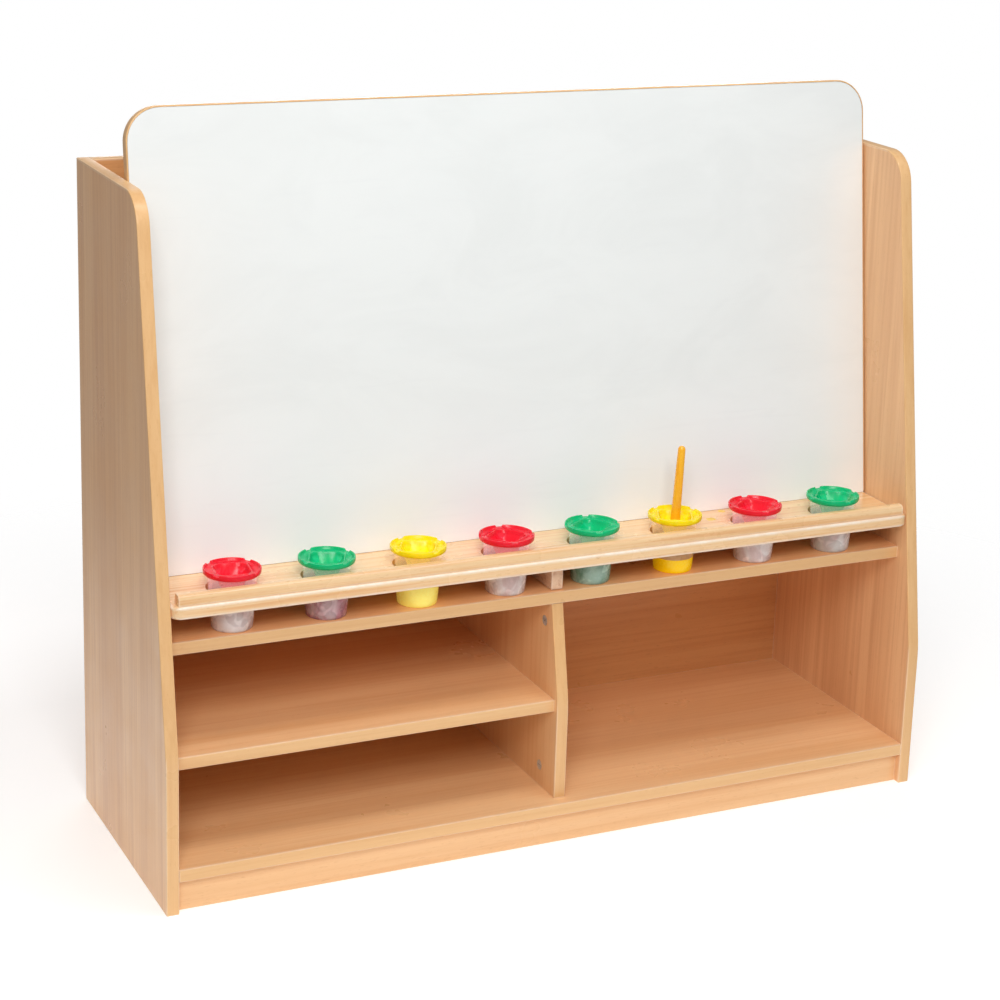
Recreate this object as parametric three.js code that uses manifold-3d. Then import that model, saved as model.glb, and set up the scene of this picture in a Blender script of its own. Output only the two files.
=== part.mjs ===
// Children's painting easel and storage unit: two sloped side panels, a back panel, shelves,
// a leaning dry-wipe drawing board, and a paint tray with lidded paint pots standing in its holes.
// Millimetres. The origin is on the floor at the middle of the unit's footprint:
// +X is the unit's width, to the right of a child who faces the board, +Y runs towards its back, and +Z is up.

import * as THREE from "three";
import { mergeVertices } from "three/addons/utils/BufferGeometryUtils.js";
import Module from "manifold-3d";

const wasm = await Module();
wasm.setup();

// ---------------------------------------------------------------- driving dimensions

const WIDTH = 1200;
const DEPTH = 400;
const SIDE_HEIGHT = 970;
const BOARD_TOP = 1066;
const PANEL = 18; // thickness of every laminated panel
const EDGING = 2; // thickness of the plastic lipping on the panels' visible edges
const GAP = 0.3; // clearance between pieces that only meet

const FRONT = -DEPTH / 2;
const BACK = DEPTH / 2;
const INNER = WIDTH / 2 - PANEL; // half the clear width between the side panels
const INSIDE_BACK = BACK - PANEL; // front face of the back panel

// Side panels: upright to the knee, then leaning back to a rounded top corner.
const KNEE_HEIGHT = 220;
const FRONT_SLOPE = 0.1595; // how far the front edge moves back for each millimetre up
const KNEE_RADIUS = 200;
const CORNER_RADIUS = 50;

// Shelves, by the height of their top face and the place of their front edge.
const BASE_TOP = 65;
const MID_TOP = 215;
const TROUGH_TOP = 373;
const MID_FRONT = FRONT + 30;
const TROUGH_FRONT = FRONT + 50;
const PLINTH_SETBACK = 12;

// Divider between the two storage bays, with a front edge that follows the side panels.
const DIVIDER_FRONT = FRONT + 20;
const DIVIDER_KNEE_HEIGHT = 212;
const DIVIDER_TOP_FRONT = FRONT + 50;

// Paint tray, its raised lip and the block that carries it.
const TRAY_TOP = 431;
const TRAY_THICKNESS = 18;
const TRAY_FRONT = -174;
const TRAY_BACK = -33;
const TRAY_CORNER = 16;
const TRAY_EDGE = 4;
const LIP_HALF_LENGTH = 572;
const LIP_FRONT = -170;
const LIP_DEPTH = 17.5;
const LIP_HEIGHT = 15;
const LIP_EDGE = 6;
const BLOCK_FRONT = -143;
const BLOCK_BACK = -53;
const BLOCK_MIDDLE = 1.5; // place across the width
const BLOCK_CLEARANCE = 1.1; // the block hangs from the tray, just clear of the shelf

// Drawing board, leaning back on the tray.
const BOARD_FOOT = -53; // where the board's front face meets the tray
const BOARD_LEAN = THREE.MathUtils.degToRad(7.6);
const BOARD_THICKNESS = 16;
const BOARD_SIDE_GAP = 1.5;
const BOARD_CORNER = 48;
const FACE_THICKNESS = 1;
const BATTEN = 18;
const BATTEN_START = 20;
const BATTEN_END = 500;

// Paint pots, in a row in the tray.
const POT_COUNT = 8;
const POT_PITCH = 137;
const POT_Y = -116;
const HOLE_RADIUS = 36;
const POT_HEIGHT = 75.3;
const POT_FLOOR = 2;
const POT_WALL = 1.6;
const POT_FOOT_RADIUS = 28.5;
const POT_NECK_RADIUS = 33.6;
const POT_RIM_RADIUS = 34.6;
const POT_RIM_HEIGHT = 3.5;
const LID_RADIUS = 40;
const LID_TOP = 85.3; // above the pot's foot
const LID_HOLE_RADIUS = 11.5;
const LID_HOLE_BOTTOM = 52;
const NOTCH_WIDTH = 9;
const NOTCH_DEPTH = 2.5;
const LID_TURNS = [38, 21, 17, -8, -12, 19, -6, 4]; // degrees, how each pot and lid happens to stand
const LID_COLOURS = ["red", "green", "yellow"]; // repeated along the row
const PAINT_LEVELS = { 3: 42, 6: 20 }; // pot number: height of the paint above the pot's foot

// Brush that stands in one of the pots.
const BRUSH_POT = 6;
const BRUSH_LEAN = THREE.MathUtils.degToRad(2.5);
const BRUSH_LENGTH = 185.5;
const BRUSH_OFFSET = -2.2; // where its tip stands, so that the handle passes the middle of the lid's hole
const BRUSH_WELL_RADIUS = 8.8;

// Fittings: cam locks with their bolts in the divider, dowels in the middle shelf.
const CAM_RADIUS = 7.5;
const CAM_LENGTH = 12.5;
const CAM_FROM_SHELF = 32;
const CAM_ROWS = { front: -129, rear: 130 };
const BOLT_INSERT = 10.5; // threaded length in the shelf
const BOLT_REACH = 29.5; // from the shelf's face to the bolt's head
const DOWEL_RADIUS = 4;
const DOWEL_IN_SHELF = 20;
const DOWEL_IN_PANEL = 10;
const DOWEL_ROWS = [-100, 110];

const ROUND = 20; // sides of a pot or lid
const SMALL_ROUND = 12; // sides of a fitting
const HOLE_ROUND = 24; // sides of a tray hole

// ---------------------------------------------------------------- materials

function finish(color, roughness, metalness = 0) {
  return new THREE.MeshStandardMaterial({ color, roughness, metalness });
}

const laminate = finish(0xcf9c6c, 0.5);
const lipping = finish(0xe6b67f, 0.45);
const solidBeech = finish(0xf0c99c, 0.5);
const innerTimber = finish(0xd8b58a, 0.7);
const dryWipe = finish(0xf1f2ef, 0.2);
const zinc = finish(0xb6b5b0, 0.35, 0.9);
const potPlastic = finish(0xd9d4d2, 0.3);
const lidPlastic = {
  red: finish(0xe8202c, 0.35),
  green: finish(0x12ab72, 0.35),
  yellow: finish(0xf8d91c, 0.35),
};
const yellowPaint = finish(0xf2d437, 0.3);
const brushLacquer = finish(0xf7a825, 0.3);
const bristleHair = finish(0xb98a52, 0.9);

// ---------------------------------------------------------------- geometry helpers

const easel = new THREE.Group();

function add(name, geometry, material, parent = easel) {
  const mesh = new THREE.Mesh(geometry, material);
  mesh.name = name;
  parent.add(mesh);
  return mesh;
}

/** A box between two corners. */
function block(low, high) {
  const size = high.map((value, axis) => value - low[axis]);
  const geometry = new THREE.BoxGeometry(...size);
  geometry.translate(...low.map((value, axis) => value + size[axis] / 2));
  return geometry;
}

/** A solid of revolution about +Z. The profile holds [radius, height] pairs, anticlockwise. */
function turned(profile, sides) {
  const points = profile.map(([radius, height]) => new THREE.Vector2(radius, height));
  const geometry = new THREE.LatheGeometry(points, sides);
  geometry.rotateX(Math.PI / 2);
  return geometry;
}

function closed(profile) {
  return [...profile, profile[0]];
}

/** A cylinder along a unit axis, starting at a point. */
function rod(start, axis, radius, length, sides = SMALL_ROUND) {
  const geometry = new THREE.CylinderGeometry(radius, radius, length, sides);
  const direction = new THREE.Vector3(...axis);
  geometry.applyQuaternion(new THREE.Quaternion().setFromUnitVectors(new THREE.Vector3(0, 1, 0), direction));
  const middle = new THREE.Vector3(...start).addScaledVector(direction, length / 2);
  geometry.translate(middle.x, middle.y, middle.z);
  return geometry;
}

/** Extrudes an outline in the YZ plane along +X, from x = from to x = to. */
function acrossWidth(outline, from, to) {
  const geometry = new THREE.ExtrudeGeometry(new THREE.Shape(outline), {
    depth: to - from,
    bevelEnabled: false,
  });
  const cycle = new THREE.Matrix4().makeBasis(
    new THREE.Vector3(0, 1, 0),
    new THREE.Vector3(0, 0, 1),
    new THREE.Vector3(1, 0, 0),
  );
  geometry.applyMatrix4(cycle);
  geometry.translate(from, 0, 0);
  return geometry;
}

function toManifold(geometry) {
  const bare = new THREE.BufferGeometry();
  bare.setAttribute("position", geometry.getAttribute("position"));
  bare.setIndex(geometry.getIndex());
  const merged = mergeVertices(bare, 1e-4);
  return new wasm.Manifold(
    new wasm.Mesh({
      numProp: 3,
      vertProperties: new Float32Array(merged.getAttribute("position").array),
      triVerts: new Uint32Array(merged.getIndex().array),
    }),
  );
}

function toGeometry(manifold) {
  const mesh = manifold.getMesh();
  const geometry = new THREE.BufferGeometry();
  geometry.setAttribute("position", new THREE.BufferAttribute(new Float32Array(mesh.vertProperties), 3));
  geometry.setIndex(new THREE.BufferAttribute(new Uint32Array(mesh.triVerts), 1));
  geometry.computeVertexNormals();
  return geometry;
}

/** The geometry with each of the tools cut out of it. */
function cut(geometry, tools) {
  const solid = tools.reduce((rest, tool) => rest.subtract(toManifold(tool)), toManifold(geometry));
  return toGeometry(solid);
}

function crossing(pointA, directionA, pointB, directionB) {
  const offset = pointB.clone().sub(pointA);
  const along = offset.cross(directionB) / directionA.cross(directionB);
  return pointA.clone().addScaledVector(directionA, along);
}

/**
 * An open path moved sideways by inset, to its left. Its two ends stay on the lines through the old ends
 * along endDirections, so that the path still meets the edges it ran between.
 */
function insetPath(path, inset, endDirections) {
  const lines = path.slice(1).map((end, index) => {
    const direction = end.clone().sub(path[index]).normalize();
    const left = new THREE.Vector2(-direction.y, direction.x);
    return { point: path[index].clone().addScaledVector(left, inset), direction };
  });
  const first = crossing(path[0], endDirections[0], lines[0].point, lines[0].direction);
  const final = lines[lines.length - 1];
  const last = crossing(path[path.length - 1], endDirections[1], final.point, final.direction);
  const corners = lines.slice(1).map((line, index) => {
    return crossing(lines[index].point, lines[index].direction, line.point, line.direction);
  });
  return [first, ...corners, last];
}

/** The path with each inner corner rounded to its radius. */
function roundedPath(path, radii, segments) {
  const points = [path[0]];
  for (let index = 1; index < path.length - 1; index += 1) {
    const corner = path[index];
    const back = path[index - 1].clone().sub(corner).normalize();
    const ahead = path[index + 1].clone().sub(corner).normalize();
    const half = Math.acos(back.dot(ahead)) / 2;
    const radius = radii[index - 1];
    const middle = back.clone().add(ahead).normalize();
    const centre = corner.clone().addScaledVector(middle, radius / Math.sin(half));
    const tangent = radius / Math.tan(half);
    const start = corner.clone().addScaledVector(back, tangent).sub(centre);
    const turn = (Math.PI - 2 * half) * Math.sign(ahead.cross(back));
    for (let step = 0; step <= segments; step += 1) {
      points.push(start.clone().rotateAround(new THREE.Vector2(), (turn * step) / segments).add(centre));
    }
  }
  points.push(path[path.length - 1]);
  return points;
}

// ---------------------------------------------------------------- side panels

/** The side panel's top and front edge, from its back top corner to the floor, moved in by inset. */
function sideEdge(inset) {
  const kneePoint = new THREE.Vector2(FRONT, KNEE_HEIGHT);
  const topPoint = new THREE.Vector2(FRONT + FRONT_SLOPE * (SIDE_HEIGHT - KNEE_HEIGHT), SIDE_HEIGHT);
  const path = [
    new THREE.Vector2(BACK, SIDE_HEIGHT),
    topPoint,
    kneePoint,
    new THREE.Vector2(FRONT, 0),
  ];
  const upright = new THREE.Vector2(0, 1);
  const level = new THREE.Vector2(1, 0);
  const moved = insetPath(path, inset, [upright, level]);
  return roundedPath(moved, [CORNER_RADIUS - inset, KNEE_RADIUS - inset], 8);
}

/** Blind holes along X for the dowels of the middle shelf's end at x, going depth into what is drilled. */
function dowelHoles(x, direction, depth) {
  const height = MID_TOP - PANEL / 2;
  return DOWEL_ROWS.map((y) => {
    return rod([x, y, height], [direction, 0, 0], DOWEL_RADIUS + GAP, depth + GAP);
  });
}

function addSide(name, outer, inner, holes) {
  const [from, to] = [Math.min(outer, inner), Math.max(outer, inner)];
  const core = [...sideEdge(EDGING), new THREE.Vector2(BACK, 0)];
  const strip = [...sideEdge(0), ...sideEdge(EDGING).reverse()];
  const panel = acrossWidth(core, from, to);
  add(name, holes.length > 0 ? cut(panel, holes) : panel, laminate);
  add(`${name}_edging`, acrossWidth(strip, from, to), lipping);
}

addSide("left_side", -WIDTH / 2, -INNER, dowelHoles(-INNER, -1, DOWEL_IN_PANEL));
addSide("right_side", WIDTH / 2, INNER, []);

// ---------------------------------------------------------------- back panel, shelves and plinth

add("back_panel", block([-INNER, INSIDE_BACK, 0], [INNER, BACK, SIDE_HEIGHT - EDGING]), laminate);
add(
  "back_panel_edging",
  block([-INNER, INSIDE_BACK, SIDE_HEIGHT - EDGING], [INNER, BACK, SIDE_HEIGHT]),
  lipping,
);

/** Threaded holes in a shelf's face at height z, for the divider's cam bolts. */
function boltHoles(z, direction) {
  return Object.values(CAM_ROWS).map((y) => {
    return rod([0, y, z], [0, 0, direction], 2.5 + GAP, BOLT_INSERT + GAP);
  });
}

/** A shelf with a lipped front edge. holes are cut out of its core. */
function addShelf(name, left, right, front, top, holes) {
  const bottom = top - PANEL;
  const core = block([left, front + EDGING, bottom], [right, INSIDE_BACK, top]);
  add(name, cut(core, holes), laminate);
  add(`${name}_edging`, block([left, front, bottom], [right, front + EDGING, top]), lipping);
}

addShelf("base_shelf", -INNER, INNER, FRONT, BASE_TOP, boltHoles(BASE_TOP, -1));
addShelf("mid_shelf", -INNER, -PANEL / 2, MID_FRONT, MID_TOP, [
  ...dowelHoles(-INNER, 1, DOWEL_IN_SHELF),
  ...dowelHoles(-PANEL / 2, -1, DOWEL_IN_SHELF),
]);
addShelf("trough_shelf", -INNER, INNER, TROUGH_FRONT, TROUGH_TOP, boltHoles(TROUGH_TOP - PANEL, 1));

const PLINTH_FRONT = FRONT + PLINTH_SETBACK;
add(
  "front_plinth",
  block([-INNER, PLINTH_FRONT, 0], [INNER, PLINTH_FRONT + PANEL, BASE_TOP - PANEL]),
  laminate,
);

// ---------------------------------------------------------------- divider and its fittings

const DIVIDER_TOP = TROUGH_TOP - PANEL;

/** The divider's front edge, from the shelf above it to the one below, moved in by inset. */
function dividerEdge(inset) {
  const path = [
    new THREE.Vector2(DIVIDER_TOP_FRONT, DIVIDER_TOP),
    new THREE.Vector2(DIVIDER_FRONT, DIVIDER_KNEE_HEIGHT),
    new THREE.Vector2(DIVIDER_FRONT, BASE_TOP),
  ];
  const level = new THREE.Vector2(1, 0);
  return roundedPath(insetPath(path, inset, [level, level]), [KNEE_RADIUS - inset], 6);
}

/** The divider's cam fittings: place along the divider, height of the cam, and which way its bolt points. */
const camFittings = Object.entries(CAM_ROWS).flatMap(([row, y]) => [
  { name: `top_${row}`, y, camHeight: DIVIDER_TOP - CAM_FROM_SHELF, up: 1 },
  { name: `bottom_${row}`, y, camHeight: BASE_TOP + CAM_FROM_SHELF, up: -1 },
]);

function addDivider() {
  const [left, right] = [-PANEL / 2, PANEL / 2];
  const core = [
    ...dividerEdge(EDGING),
    new THREE.Vector2(INSIDE_BACK, BASE_TOP),
    new THREE.Vector2(INSIDE_BACK, DIVIDER_TOP),
  ];
  const holes = camFittings.flatMap(({ y, camHeight, up }) => [
    rod([left, y, camHeight], [1, 0, 0], CAM_RADIUS + GAP, CAM_LENGTH + GAP),
    rod([0, y, camHeight], [0, 0, up], 4, CAM_FROM_SHELF),
  ]);
  const tools = [...holes, ...dowelHoles(left, 1, DOWEL_IN_PANEL)];
  add("centre_divider", cut(acrossWidth(core, left, right), tools), laminate);
  const strip = [...dividerEdge(0), ...dividerEdge(EDGING).reverse()];
  add("centre_divider_edging", acrossWidth(strip, left, right), lipping);
}

/** A cam lock: a short drum with a screwdriver slot in its face and a mouth for the bolt's head. */
function camLock(y, height, up) {
  const left = -PANEL / 2;
  const drum = rod([left, y, height], [1, 0, 0], CAM_RADIUS, CAM_LENGTH, HOLE_ROUND);
  const mouth = rod([0, y, height + up * 1.5], [0, 0, up], 4, CAM_RADIUS);
  const slot = block([left - 1, y - 4.5, height - 0.8], [left + 1.5, y + 4.5, height + 0.8]);
  return cut(drum, [mouth, slot]);
}

/** A cam bolt along +Z: thread in the shelf below z = 0, then shank, neck and head. */
function camBolt() {
  return turned(
    [
      [0, -BOLT_INSERT],
      [2.5, -BOLT_INSERT],
      [2.5, 0],
      [3.4, 0.3],
      [3.4, 21],
      [2, 22],
      [2, 26],
      [3.2, 27],
      [3.2, BOLT_REACH],
      [0, BOLT_REACH],
    ],
    SMALL_ROUND,
  );
}

addDivider();
for (const { name, y, camHeight, up } of camFittings) {
  add(`cam_lock_${name}`, camLock(y, camHeight, up), zinc);
  const bolt = add(`cam_bolt_${name}`, camBolt(), zinc);
  bolt.position.set(0, y, camHeight + up * CAM_FROM_SHELF);
  bolt.rotation.x = up > 0 ? Math.PI : 0;
}

const DOWEL_ENDS = { left: [-INNER, -1], right: [-PANEL / 2, 1] };
for (const [end, [x, outwards]] of Object.entries(DOWEL_ENDS)) {
  DOWEL_ROWS.forEach((y, index) => {
    const start = [x - outwards * DOWEL_IN_SHELF, y, MID_TOP - PANEL / 2];
    const dowel = rod(start, [outwards, 0, 0], DOWEL_RADIUS, DOWEL_IN_SHELF + DOWEL_IN_PANEL);
    add(`mid_shelf_dowel_${end}_${index + 1}`, dowel, innerTimber);
  });
}

// ---------------------------------------------------------------- paint tray

const TRAY_HALF = INNER - GAP;
const potPlaces = Array.from({ length: POT_COUNT }, (_, index) => {
  return (index - (POT_COUNT - 1) / 2) * POT_PITCH;
});

/** The tray: a board with rounded edges and front corners, and a hole for each pot. */
function trayBoard() {
  const outline = roundedPath(
    [
      new THREE.Vector2(-TRAY_HALF, TRAY_BACK),
      new THREE.Vector2(-TRAY_HALF, TRAY_FRONT),
      new THREE.Vector2(TRAY_HALF, TRAY_FRONT),
      new THREE.Vector2(TRAY_HALF, TRAY_BACK),
    ],
    [TRAY_CORNER, TRAY_CORNER],
    5,
  );
  const board = new THREE.ExtrudeGeometry(new THREE.Shape(outline), {
    depth: TRAY_THICKNESS - 2 * TRAY_EDGE,
    bevelThickness: TRAY_EDGE,
    bevelSize: TRAY_EDGE,
    bevelOffset: -TRAY_EDGE,
    bevelSegments: 3,
  });
  const bottom = TRAY_TOP - TRAY_THICKNESS;
  board.translate(0, 0, bottom + TRAY_EDGE);
  const holes = potPlaces.map((x) => {
    return rod([x, POT_Y, bottom - 1], [0, 0, 1], HOLE_RADIUS, TRAY_THICKNESS + 2, HOLE_ROUND);
  });
  return cut(board, holes);
}

/** The lip: a strip with its two top edges rounded, along the front of the tray. */
function trayLip() {
  const outline = roundedPath(
    [
      new THREE.Vector2(LIP_FRONT, TRAY_TOP),
      new THREE.Vector2(LIP_FRONT, TRAY_TOP + LIP_HEIGHT),
      new THREE.Vector2(LIP_FRONT + LIP_DEPTH, TRAY_TOP + LIP_HEIGHT),
      new THREE.Vector2(LIP_FRONT + LIP_DEPTH, TRAY_TOP),
    ],
    [LIP_EDGE, LIP_EDGE],
    4,
  );
  return acrossWidth(outline, -LIP_HALF_LENGTH, LIP_HALF_LENGTH);
}

add("paint_tray", trayBoard(), solidBeech);
add("tray_lip", trayLip(), solidBeech);
add(
  "tray_support_block",
  block(
    [BLOCK_MIDDLE - PANEL / 2, BLOCK_FRONT, TROUGH_TOP + BLOCK_CLEARANCE],
    [BLOCK_MIDDLE + PANEL / 2, BLOCK_BACK, TRAY_TOP - TRAY_THICKNESS - GAP],
  ),
  solidBeech,
);

// ---------------------------------------------------------------- drawing board

// In the board's own axes X is the width, Y runs up its slope, and Z = 0 is the plane of its front face.
const leaning = new THREE.Group();
leaning.position.set(0, BOARD_FOOT, TRAY_TOP);
leaning.rotation.x = Math.PI / 2 - BOARD_LEAN;
easel.add(leaning);

/** How far up the slope a plate starts, so that the back edge of its foot clears the tray. */
function footOf(thickness) {
  return thickness * Math.tan(BOARD_LEAN) + GAP;
}

const BOARD_HALF = INNER - BOARD_SIDE_GAP;
const BOARD_START = footOf(BOARD_THICKNESS);
const BOARD_END = (BOARD_TOP - TRAY_TOP) / Math.cos(BOARD_LEAN);

/** The board's outline from its right foot over the top to its left foot, moved in by inset. */
function boardEdge(inset, start = BOARD_START) {
  const path = [
    new THREE.Vector2(BOARD_HALF, start),
    new THREE.Vector2(BOARD_HALF, BOARD_END),
    new THREE.Vector2(-BOARD_HALF, BOARD_END),
    new THREE.Vector2(-BOARD_HALF, start),
  ];
  const level = new THREE.Vector2(1, 0);
  const radius = BOARD_CORNER - inset;
  return roundedPath(insetPath(path, inset, [level, level]), [radius, radius], 8);
}

/** A plate of the board, between two distances in front of its front face. */
function boardPlate(outline, from, to) {
  const geometry = new THREE.ExtrudeGeometry(new THREE.Shape(outline), {
    depth: to - from,
    bevelEnabled: false,
  });
  geometry.translate(0, 0, from);
  return geometry;
}

const boardInside = boardEdge(EDGING + GAP);
const sheet = boardEdge(EDGING + GAP, footOf(FACE_THICKNESS));
const boardStrip = [...boardEdge(0), ...boardEdge(EDGING).reverse()];
const coreFront = -FACE_THICKNESS - GAP;
add("drawing_board", boardPlate(boardInside, -BOARD_THICKNESS, coreFront), laminate, leaning);
add("drawing_board_face", boardPlate(sheet, -FACE_THICKNESS, 0), dryWipe, leaning);
add("drawing_board_edging", boardPlate(boardStrip, -BOARD_THICKNESS, 0), lipping, leaning);

const battenBack = -BOARD_THICKNESS - GAP - BATTEN;
const BATTEN_OUTER = INNER - GAP;
for (const [name, side] of [["left", -1], ["right", 1]]) {
  const [outer, inner] = [side * BATTEN_OUTER, side * (BATTEN_OUTER - BATTEN)];
  const low = [Math.min(outer, inner), BATTEN_START, battenBack];
  const high = [Math.max(outer, inner), BATTEN_END, battenBack + BATTEN];
  add(`${name}_board_batten`, block(low, high), innerTimber, leaning);
}

// ---------------------------------------------------------------- paint pots and lids

/** Radius of a pot's inner wall at a height above its foot. */
function potInside(height) {
  const rise = (POT_NECK_RADIUS - POT_FOOT_RADIUS) / (POT_HEIGHT - POT_RIM_HEIGHT);
  return POT_FOOT_RADIUS + rise * height - POT_WALL;
}

function potBody() {
  const shoulder = POT_HEIGHT - POT_RIM_HEIGHT;
  return turned(
    [
      [0, 0],
      [POT_FOOT_RADIUS - 1, 0],
      [POT_FOOT_RADIUS, 1.5],
      [POT_NECK_RADIUS, shoulder],
      [POT_RIM_RADIUS, shoulder],
      [POT_RIM_RADIUS, POT_HEIGHT],
      [potInside(POT_HEIGHT), POT_HEIGHT],
      [potInside(POT_FLOOR), POT_FLOOR],
      [0, POT_FLOOR],
    ],
    ROUND,
  );
}

/** The lid: a dished disc over the pot's rim, a plug skirt, a funnel down to the brush hole, and rim notches. */
function lidBody() {
  const seat = POT_HEIGHT + GAP;
  const wall = 1.8;
  const skirtOuter = potInside(POT_HEIGHT) - 0.8;
  const profile = closed([
    [LID_HOLE_RADIUS, LID_HOLE_BOTTOM],
    [LID_HOLE_RADIUS + wall, LID_HOLE_BOTTOM],
    [24.4, seat + 1.9],
    [skirtOuter - wall, seat + 1.9],
    [skirtOuter - wall, seat - 5.8],
    [skirtOuter, seat - 5.8],
    [skirtOuter, seat],
    [POT_RIM_RADIUS + 0.5, seat],
    [LID_RADIUS - 1.6, seat + 1.2],
    [LID_RADIUS, seat + 4],
    [LID_RADIUS, LID_TOP],
    [LID_RADIUS - 2.4, LID_TOP],
    [LID_RADIUS - 4, LID_TOP - 2.6],
    [25, LID_TOP - 3.6],
  ]);
  const notches = [0, 1, 2, 3].map((quarter) => {
    const half = NOTCH_WIDTH / 2;
    const notch = block([33, -half, LID_TOP - NOTCH_DEPTH], [LID_RADIUS + 2, half, LID_TOP + 1]);
    notch.rotateZ((quarter * Math.PI) / 2);
    return notch;
  });
  return cut(turned(profile, ROUND), notches);
}

/** Paint up to a level, just clear of the pot's wall and floor. */
function paintFill(level) {
  const floor = POT_FLOOR + GAP;
  return turned(
    [
      [0, floor],
      [potInside(floor) - GAP, floor],
      [potInside(level) - GAP, level],
      [0, level],
    ],
    ROUND,
  );
}

/** A clear well round the brush, so that the brush can be drawn out of the paint. */
function brushWell() {
  const well = new THREE.CylinderGeometry(BRUSH_WELL_RADIUS, BRUSH_WELL_RADIUS, 200, ROUND);
  well.rotateX(Math.PI / 2);
  well.rotateY(BRUSH_LEAN);
  well.translate(BRUSH_OFFSET, 0, POT_FLOOR);
  return well;
}

const potGeometry = potBody();
const lidGeometry = lidBody();
potPlaces.forEach((x, index) => {
  const number = index + 1;
  const stand = new THREE.Group();
  stand.position.set(x, POT_Y, TROUGH_TOP);
  const turn = THREE.MathUtils.degToRad(LID_TURNS[index]);
  easel.add(stand);
  add(`pot_${number}`, potGeometry, potPlastic, stand).rotation.z = turn;
  const colour = LID_COLOURS[index % LID_COLOURS.length];
  add(`lid_${number}`, lidGeometry, lidPlastic[colour], stand).rotation.z = turn;
  if (number in PAINT_LEVELS) {
    const fill = paintFill(PAINT_LEVELS[number]);
    fill.rotateZ(turn);
    const paint = number === BRUSH_POT ? cut(fill, [brushWell()]) : fill;
    add(`paint_${number}`, paint, yellowPaint, stand);
  }
});

// ---------------------------------------------------------------- brush

// The brush's own Z runs from the tip of its bristles to the end of its handle.
const brush = new THREE.Group();
brush.position.set(potPlaces[BRUSH_POT - 1] + BRUSH_OFFSET, POT_Y, TROUGH_TOP + POT_FLOOR + 0.5);
brush.rotation.y = BRUSH_LEAN;
easel.add(brush);

const HANDLE_TIP_RADIUS = 5.6;
const tipArc = [60, 30, 0].map((degrees) => {
  const angle = THREE.MathUtils.degToRad(degrees);
  const height = BRUSH_LENGTH - HANDLE_TIP_RADIUS + HANDLE_TIP_RADIUS * Math.cos(angle);
  return [HANDLE_TIP_RADIUS * Math.sin(angle), height];
});
const handleProfile = [
  [0, 27],
  [5.3, 27],
  [5.3, 36.5],
  [6.5, 37],
  [7, 48],
  [7.1, 70],
  [6.9, 90],
  [6.3, 135],
  [HANDLE_TIP_RADIUS, BRUSH_LENGTH - HANDLE_TIP_RADIUS],
  ...tipArc,
];
const ferruleProfile = closed([
  [5.7, 14],
  [6.4, 14],
  [6.6, 20],
  [6.3, 23],
  [6.6, 26],
  [6.6, 36],
  [5.7, 36],
]);
const bristleProfile = [
  [0, 0],
  [3.6, 0.6],
  [6.4, 4],
  [7.1, 9],
  [5.3, 14],
  [5.3, 25],
  [0, 25],
];
add("brush_handle", turned(handleProfile, ROUND), brushLacquer, brush);
add("brush_ferrule", turned(ferruleProfile, ROUND), zinc, brush);
add("brush_bristles", turned(bristleProfile, ROUND), bristleHair, brush);

export default easel;
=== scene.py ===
"""Looks for the kids painting easel: camera, light, materials, strips, and fine pots, lids and brush."""

import math
import random

import bmesh
import bpy
from mathutils import Matrix, Vector


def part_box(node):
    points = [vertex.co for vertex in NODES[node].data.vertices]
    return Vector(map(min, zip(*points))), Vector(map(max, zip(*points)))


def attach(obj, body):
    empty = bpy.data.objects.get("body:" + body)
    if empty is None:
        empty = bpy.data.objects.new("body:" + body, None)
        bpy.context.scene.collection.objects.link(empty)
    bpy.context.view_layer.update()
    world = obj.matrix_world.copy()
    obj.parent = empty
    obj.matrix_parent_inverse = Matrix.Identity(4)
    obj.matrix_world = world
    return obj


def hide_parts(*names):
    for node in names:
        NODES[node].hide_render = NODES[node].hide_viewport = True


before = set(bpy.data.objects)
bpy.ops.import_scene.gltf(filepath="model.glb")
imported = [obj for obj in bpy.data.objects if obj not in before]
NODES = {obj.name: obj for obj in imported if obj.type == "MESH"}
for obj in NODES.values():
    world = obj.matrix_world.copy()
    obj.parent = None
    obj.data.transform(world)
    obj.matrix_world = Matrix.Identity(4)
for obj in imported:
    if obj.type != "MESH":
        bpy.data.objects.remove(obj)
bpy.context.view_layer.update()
scene = bpy.context.scene

MM = 0.001
WHITE = (1.0, 1.0, 1.0, 1.0)
BLACK = (0.0, 0.0, 0.0, 1.0)


def srgb(red, green, blue):
    """A colour given as 0 to 255 screen values, as the linear values that shaders take."""
    def linear(value):
        value /= 255
        return value / 12.92 if value <= 0.04045 else ((value + 0.055) / 1.055) ** 2.4

    return (linear(red), linear(green), linear(blue), 1.0)


# ---------------------------------------------------------------- camera

CAMERA_PLACE = Vector((-1.4808, -3.0361, 1.5647))
CAMERA_YAW = math.radians(25.517)
CAMERA_PITCH = math.radians(15.185)
CAMERA_ROLL = math.radians(1.852)
CAMERA_LENS = 86.41
CAMERA_SHIFT = (0.0, -0.12)


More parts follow.
